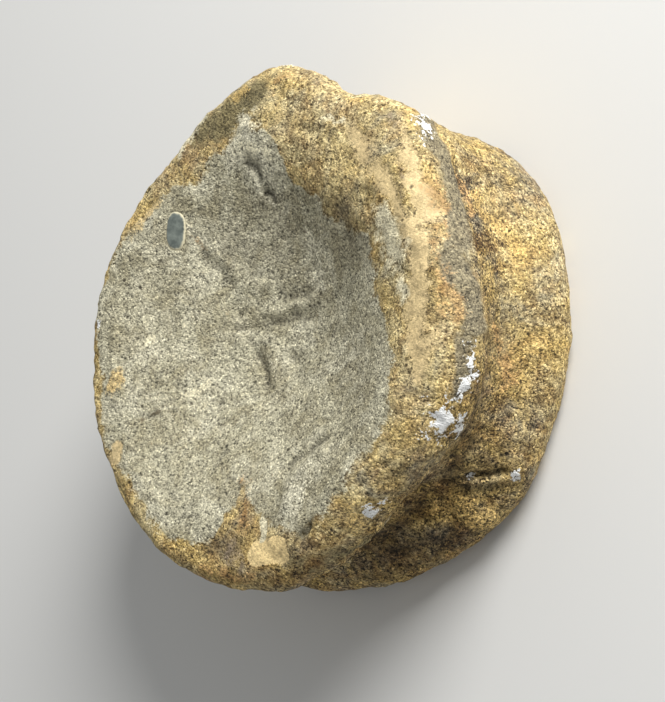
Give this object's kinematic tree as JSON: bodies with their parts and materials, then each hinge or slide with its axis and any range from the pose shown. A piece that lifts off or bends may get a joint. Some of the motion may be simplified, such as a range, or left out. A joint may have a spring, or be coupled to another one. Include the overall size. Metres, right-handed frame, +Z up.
{
  "type": "fossil ichthyosaur vertebra",
  "caption": "Fossil ichthyosaur vertebra: a thick disc-shaped centrum with hollow faces, rounded rims, a shallow waist and a neural canal trough, lying on its back face.",
  "frame": {"origin": "on the resting plane, under the middle of the bone's box", "axes": "+Z up along the backbone's axis, out of the face that shows; +Y dorsal, towards the neural canal; X lateral"},
  "size_m": [0.1126, 0.1164, 0.0451],
  "materials": {
    "fossil_bone": "matt, granular, grey stone in the hollow and ochre to brown mineralised bone on the rims"
  },
  "bodies": {
    "root": {"centrum": "fossil_bone"}
  },
  "joints": []
}
